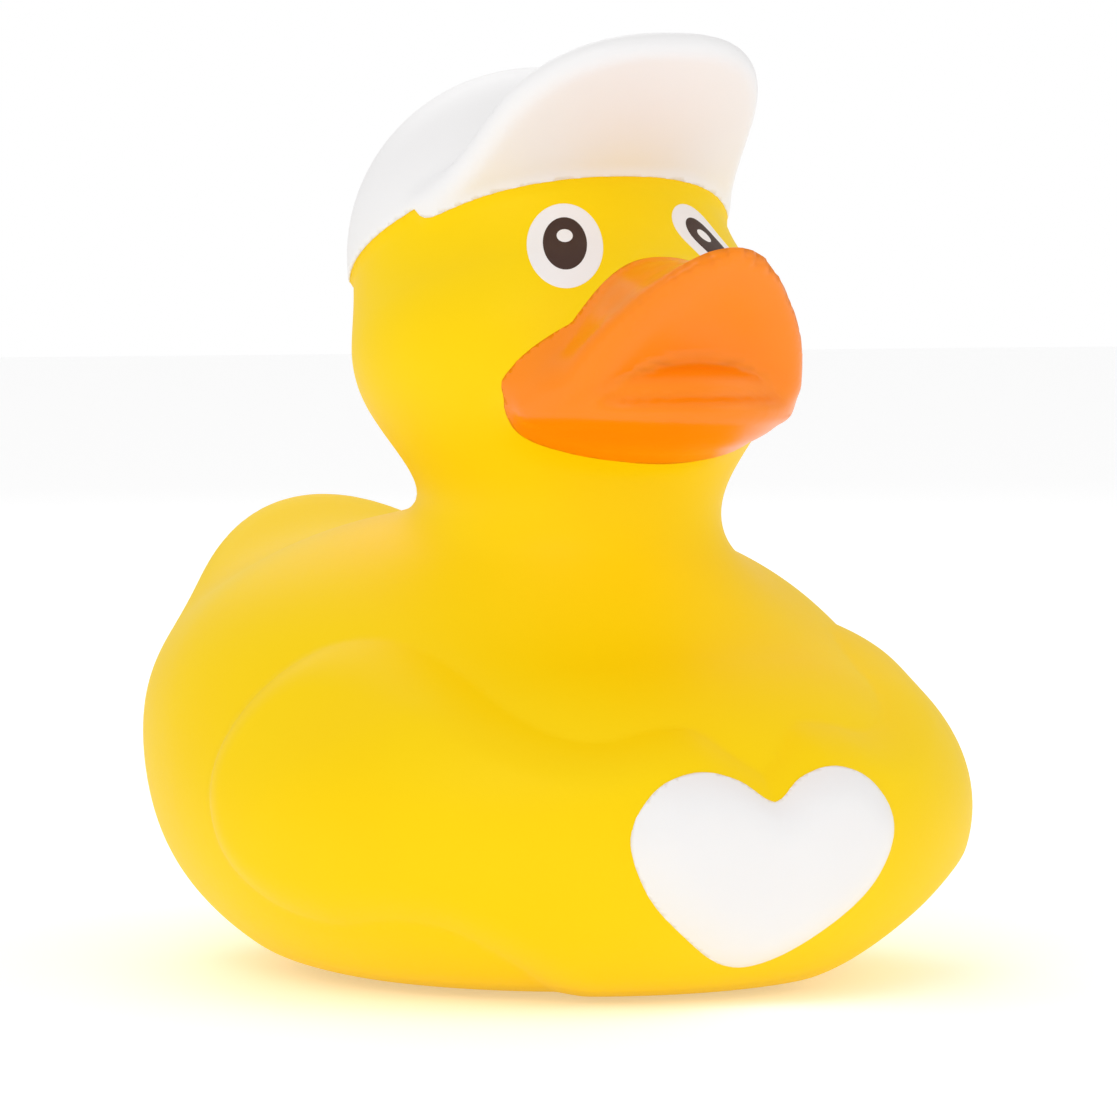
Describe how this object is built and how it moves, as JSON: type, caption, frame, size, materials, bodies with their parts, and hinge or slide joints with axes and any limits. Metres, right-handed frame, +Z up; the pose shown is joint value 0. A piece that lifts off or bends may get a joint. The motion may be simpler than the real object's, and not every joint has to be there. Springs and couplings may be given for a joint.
{
  "type": "rubber duck",
  "caption": "Bath toy duck of soft vinyl with a turned-up cap, an orange bill and a raised white heart held between its wings, on a flat base",
  "frame": {"origin": "centre of the flat base, on the surface that the duck stands on", "axes": "+Z up, -Y the way the duck faces, +X to the duck's left"},
  "size_m": [0.0806, 0.0987, 0.0925],
  "materials": {
    "vinyl_yellow": "matt yellow vinyl, the moulding itself",
    "paint_orange": "satin orange paint on the bill",
    "paint_white": "matt white paint on the cap and the heart",
    "print_white": "white print of the eyes and their glints",
    "print_dark": "dark brown print of the pupils"
  },
  "bodies": {
    "root": {"duck": "vinyl_yellow"}
  },
  "joints": []
}
